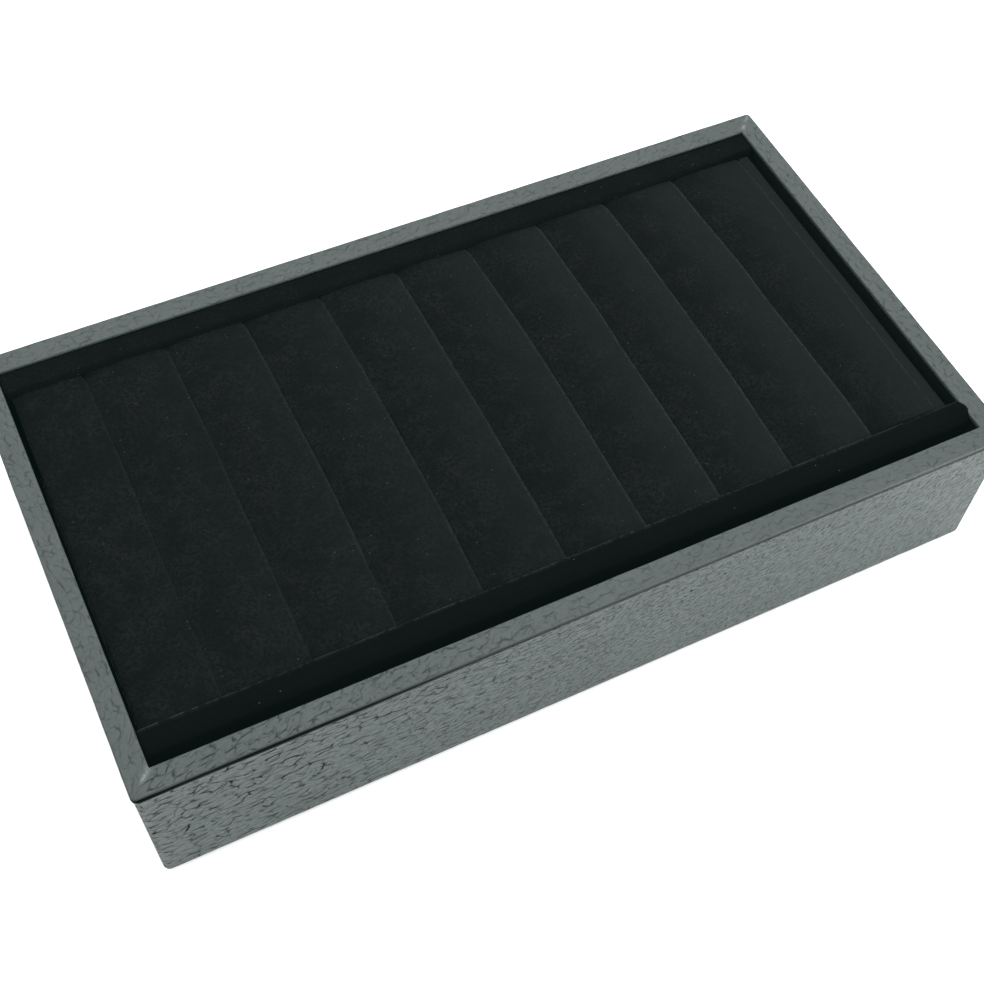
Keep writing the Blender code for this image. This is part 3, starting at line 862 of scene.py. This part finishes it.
def lattice_shell(xs, ys, zs, with_bottom):
    """Points and quads of a box's surface, cut at the given shares from -1 to 1 along each axis."""
    sizes = (len(xs), len(ys), len(zs))
    edge = np.zeros(sizes, bool)
    edge[[0, -1]] = True
    edge[:, [0, -1]] = True
    edge[:, :, -1] = True
    if with_bottom:
        edge[:, :, 0] = True
    number = np.full(sizes, -1)
    number[edge] = np.arange(edge.sum())
    where = np.argwhere(edge)
    places = [np.asarray(shares)[where[:, axis]] for axis, shares in enumerate((xs, ys, zs))]
    points = np.stack(places, axis=1)

    def patch(grid, flip):
        corners = [grid[:-1, :-1], grid[1:, :-1], grid[1:, 1:], grid[:-1, 1:]]
        quads = np.stack(corners, axis=-1).reshape(-1, 4)
        return quads[:, ::-1] if flip else quads

    patches = [
        patch(number[0], True),
        patch(number[-1], False),
        patch(number[:, 0], False),
        patch(number[:, -1], True),
        patch(number[:, :, -1], False),
    ]
    if with_bottom:
        patches.append(patch(number[:, :, 0], True))
    return points, np.concatenate(patches)


def eased(count, edge_share, edge_count):
    """Shares from -1 to 1 that lie closer together within edge_share of both ends."""
    turns = np.linspace(0, math.pi / 2, edge_count + 1)[:-1]
    left = -1 + edge_share * (1 - np.cos(turns))
    middle = np.linspace(-1 + edge_share, 1 - edge_share, count)
    return np.concatenate([left, middle, -left[::-1]])


def rounded(points, half, radius):
    """Moves points on a box's surface, given in metres from its middle, onto the box with rounded edges."""
    inner = np.maximum(np.asarray(half) - radius, 0)
    core = np.clip(points, -inner, inner)
    out = points - core
    length = np.linalg.norm(out, axis=1, keepdims=True)
    return core + out / np.maximum(length, NO_LENGTH) * np.minimum(length, radius)


def soft_box(low, high, radius, step):
    """(points, quads) of a closed box with rounded edges, with points about the given step apart on top."""
    half = np.array((high - low) / 2)
    radius = min(radius, *half * 0.98)
    axes = []
    for size in half:
        axes.append(eased(max(2, round(2 * (size - radius) / step)), min(radius / size, 0.49), 4))
    shares, quads = lattice_shell(*axes, with_bottom=True)
    return rounded(shares * half, half, radius) + np.array((low + high) / 2), quads


def velvet_pile(piece, points, swell, seed):
    """Slight unevenness of the pile, and of the board or foam under it."""
    x, y, z = points.T
    broad = uneven(x, y + z / 2, (PILE_SWELL_SIZE, PILE_SWELL_SIZE), seed)
    close = uneven(x, y + z, (PILE_HEIGHT_SIZE, PILE_HEIGHT_SIZE), seed + 1)
    displace(piece, swell * broad + PILE_HEIGHT * close)


def add_lining(side):
    """A sheet of velvet glued flat on a wall or on the floor of the tray."""
    node = f"{side}_lining"
    low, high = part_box(node)
    points, quads = soft_box(low, high, LINING_RADIUS, LINING_STEP)
    piece = new_mesh_object(f"{side}_lining_velvet", points, quads)
    finish_piece(piece, "case", lining_velvet, node)


def add_rail(place, material):
    """A rail's velvet: a crisp rear edge, a front edge that falls away, and in front a puffed right end."""
    node = f"{place}_rail_velvet"
    low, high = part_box(node)
    fall, reach = RAIL_FALLS[place]
    points, quads = soft_box(low, high, RAIL_RADIUS, RAIL_STEP)
    x, y, z = points.T
    over = ramp(z, high.z - RAIL_TOP_REACH, high.z - RAIL_RADIUS)
    z = z - fall * np.clip(1 - (y - low.y) / reach, 0, 1) ** 2 * over
    still = np.zeros(len(x))
    ripple = RIPPLE * uneven(x, still, (RIPPLE_LENGTH, 1), RIPPLE_SEED)
    ripple += FINE_RIPPLE * uneven(x, still, (FINE_RIPPLE_LENGTH, 1), RIPPLE_SEED + 1)
    y = y + ripple * ramp(y, high.y - RIPPLE_REACH, high.y) * over
    if place == "front":
        across = np.clip((y - low.y) / (high.y - low.y), 0, 1)
        bulge = ramp(x, high.x - BULGE_REACH, high.x) * over * np.sin(np.pi * across)
        x = x + BULGE_OUT * bulge
        z = z + BULGE_UP * bulge
    points = np.stack([x, y, z], axis=1)
    piece = new_mesh_object(f"{place}_rail_cover", points, quads)
    velvet_pile(piece, points, RAIL_SWELL, RAIL_SEED)
    if place == "front":
        # Painted highlight along the rail's rear top edge
        set_attribute(piece, "painted_highlight", bell(high.y - y, RAIL_HIGHLIGHT_REACH) * over)
    finish_piece(piece, "insert", material, node)


def add_end_panel():
    low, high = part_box("end_panel_velvet")
    low.x -= PANEL_OVERLAP
    points, quads = soft_box(low, high, RAIL_RADIUS, RAIL_STEP)
    piece = new_mesh_object("end_panel_cover", points, quads)
    # Painted sheen over the whole end panel
    set_attribute(piece, "painted_sheen", np.full(len(points), PANEL_PAINTED_SHEEN))
    velvet_pile(piece, points, PANEL_SWELL, PANEL_SEED)
    finish_piece(piece, "insert", velvet, "end_panel_velvet")


def side_fits(node):
    """Parabolas x(y) for a packed strip's left and right sides, from its own points between its ends."""
    low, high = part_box(node)
    points = np.array([vertex.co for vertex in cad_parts[node].data.vertices])
    clear = (points[:, 1] > low.y + FIT_MARGIN) & (points[:, 1] < high.y - FIT_MARGIN)
    rows = np.unique(np.round(points[clear, 1] / FIT_CLOSE)) * FIT_CLOSE
    near = [points[np.abs(points[:, 1] - y) < FIT_CLOSE, 0] for y in rows]
    left = np.polyfit(rows, [xs.min() for xs in near], 2)
    right = np.polyfit(rows, [xs.max() for xs in near], 2)
    return left, right


def slot_wave(number, y):
    """How far a slot's line strays from its parabola: hand-laid strips are never quite straight."""
    return SLOT_WAVE * uneven(y, np.full(len(y), 7.3 * number), (SLOT_WAVE_LENGTH, 1), SLOT_SEED)


def add_strip(number):
    """A strip's velvet cover: a low pillow, open below, that stands highest near its right edge."""
    node = f"strip_velvet_{number:02d}"
    low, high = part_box(node)
    left_fit, right_fit = side_fits(node)
    half = np.array((high - low) / 2)
    height = high.z - low.z
    edge_shares = STRIP_EDGE_RADIUS / half
    axes = [eased(count, share, 5) for count, share in zip((30, 110, 24), edge_shares)]
    shares, quads = lattice_shell(*axes, with_bottom=False)
    across, along, up = (rounded(shares * half, half, STRIP_EDGE_RADIUS) / half).T
    up = (up + 1) / 2
    y = (low.y + high.y) / 2 + half[1] * along
    left_x = np.polyval(left_fit, y) + slot_wave(number - 1, y) - STRIP_OVERLAP
    right_x = np.polyval(right_fit, y) + slot_wave(number, y) + STRIP_OVERLAP
    right_x = right_x - REAR_CURL * ramp(y, high.y - REAR_CORNER, high.y) ** 2
    y = y + REAR_STRETCH * ramp(along, 0.9, 1)
    x = left_x + (right_x - left_x) * (across + 1) / 2
    from_left, from_right = x - left_x, right_x - x
    crown = STRIP_CROWN * np.abs(across) ** CROWN_POWER + STRIP_END_FALL * np.abs(along) ** END_POWER
    crown += STRIP_LEFT_FALL * (FIRST_FALL + NEXT_FALL * number) * (1 - ramp(from_left, 0, LEFT_FALL_REACH))
    crown += STRIP_RIGHT_FALL * np.clip(1 - from_right / RIGHT_FALL_REACH, 0, 1) ** 2
    swell = STRIP_SWELL * uneven(x, y, STRIP_SWELL_SIZES, STRIP_SEED + number)
    z = low.z + height * up + (STRIP_LIFT + swell - crown) * ramp(up, 0.5, 1)
    points = np.stack([x, y, z], axis=1)
    piece = new_mesh_object(f"ring_strip_{number:02d}", points, quads)
    velvet_pile(piece, points, 0, PILE_SEED)
    on_top = ramp(up, 0.9, 0.98)
    to_right = number / STRIP_COUNT
    # Painted sheen, rising towards each strip's right side and on the strips further right
    set_attribute(piece, "painted_sheen", STRIP_PAINTED_SHEEN * to_right * ramp(across, -0.7, 1.1) * on_top)
    # Painted highlight along each strip's right edge, brighter on the strips further right
    edge_line = bell(from_right - STRIP_EDGE_RADIUS, SLOT_HIGHLIGHT_REACH)
    set_attribute(piece, "painted_highlight", (LEFT_HIGHLIGHT + HIGHLIGHT_RISE * to_right) * edge_line * on_top)
    shell = piece.modifiers.new("thickness", "SOLIDIFY")
    shell.thickness = VELVET_LAYER
    shell.offset = -1
    finish_piece(piece, "insert", velvet, node)


def add_foam(number):
    """A strip's foam core, which follows the strip's sides and is a little crowned."""
    node = f"strip_foam_{number:02d}"
    low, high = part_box(node)
    points, quads = soft_box(low, high, FOAM_RADIUS, FOAM_STEP)
    across = (2 * points[:, 0] - low.x - high.x) / (high.x - low.x)
    up = (points[:, 2] - low.z) / (high.z - low.z)
    left_x, right_x = (np.polyval(fit, points[:, 1]) for fit in side_fits(node))
    points[:, 0] = left_x + (right_x - left_x) * (across + 1) / 2
    points[:, 2] -= FOAM_CROWN * across ** 2 * up
    piece = new_mesh_object(f"foam_core_{number:02d}", points, quads)
    finish_piece(piece, "insert", foam, node)


def dress_cad_nodes():
    """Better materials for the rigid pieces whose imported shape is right."""
    fibreboard = board_material("fibreboard", *FIBREBOARD)
    named = {
        "insert_card": board_material("grey_card", *GREY_CARD),
        "base_sheet": board_material("base_paper", *BASE_PAPER),
    }
    for name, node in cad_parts.items():
        material = fibreboard if name.endswith("_board") else named.get(name)
        if material:
            node.data.materials.clear()
            node.data.materials.append(material)


# Camera, light and floor


def add_camera():
    data = bpy.data.cameras.new("camera")
    data.sensor_width = SENSOR_MM
    data.lens = LENS_MM
    data.shift_x, data.shift_y = CAMERA_SHIFT
    data.clip_start = CAMERA_NEAREST
    camera = bpy.data.objects.new("camera", data)
    camera.location = CAMERA_PLACE
    camera.rotation_euler = [math.radians(turn) for turn in CAMERA_TURN_DEG]
    bpy.context.scene.collection.objects.link(camera)
    bpy.context.scene.camera = camera


def add_sky():
    world = bpy.data.worlds.new("light_tent")
    world.use_nodes = True
    nodes, links = world.node_tree.nodes, world.node_tree.links
    along = nodes.new("ShaderNodeVectorMath")
    along.operation = "DOT_PRODUCT"
    along.inputs[1].default_value = SKY_AXIS
    links.new(nodes.new("ShaderNodeTexCoord").outputs["Generated"], along.inputs[0])
    strength = nodes.new("ShaderNodeMapRange")
    links.new(along.outputs["Value"], strength.inputs["Value"])
    strength.inputs["From Min"].default_value = SKY_START
    strength.inputs["To Min"].default_value = SKY_LOW
    strength.inputs["To Max"].default_value = SKY_HIGH
    links.new(strength.outputs["Result"], nodes["Background"].inputs["Strength"])
    nodes["Background"].inputs["Color"].default_value = WHITE
    bpy.context.scene.world = world


def add_light(name, place, size, watts):
    """A soft oblong light that faces the middle of the tray."""
    data = bpy.data.lights.new(name, "AREA")
    data.shape = "RECTANGLE"
    data.size, data.size_y = size
    data.energy = watts
    light = bpy.data.objects.new(name, data)
    light.location = place
    light.rotation_euler = (-Vector(place)).to_track_quat("-Z", "Y").to_euler()
    bpy.context.scene.collection.objects.link(light)


def set_picture_look():
    """Plain colours, lifted a little in the blacks by the haze."""
    view = bpy.context.scene.view_settings
    view.view_transform = "Standard"
    view.use_curve_mapping = True
    view.curve_mapping.black_level = [-part for part in HAZE]
    view.curve_mapping.update()


def add_floor():
    shares, quads = lattice_shell((-1, 0, 1), (-1, 0, 1), (-1, 0), with_bottom=True)
    floor = new_mesh_object("floor", shares * (FLOOR_SIZE / 2, FLOOR_SIZE / 2, FLOOR_THICKNESS), quads)
    floor.data.materials.append(floor_material())


add_camera()
add_sky()
add_light("key", KEY_PLACE, KEY_SIZE, KEY_WATTS)
add_light("fill", FILL_PLACE, FILL_SIZE, FILL_WATTS)
add_floor()
set_picture_look()
leatherette = leatherette_material()
velvet = velvet_material("velvet", *VELVET)
# Darker copies of the strips' velvet for the rails and linings: painted shade
front_rail_velvet = velvet_material("front_rail_velvet", *FRONT_RAIL_SHADED_VELVET)
rear_rail_velvet = velvet_material("rear_rail_velvet", *REAR_RAIL_SHADED_VELVET)
lining_velvet = velvet_material("lining_velvet", *LINING_SHADED_VELVET)
foam = foam_material()
for side in SIDES:
    add_wrap(side)
    add_rim(side)
    add_lining(side)
add_lining("floor")
add_rail("front", front_rail_velvet)
add_rail("rear", rear_rail_velvet)
add_end_panel()
for number in range(1, STRIP_COUNT + 1):
    add_strip(number)
    add_foam(number)
dress_cad_nodes()
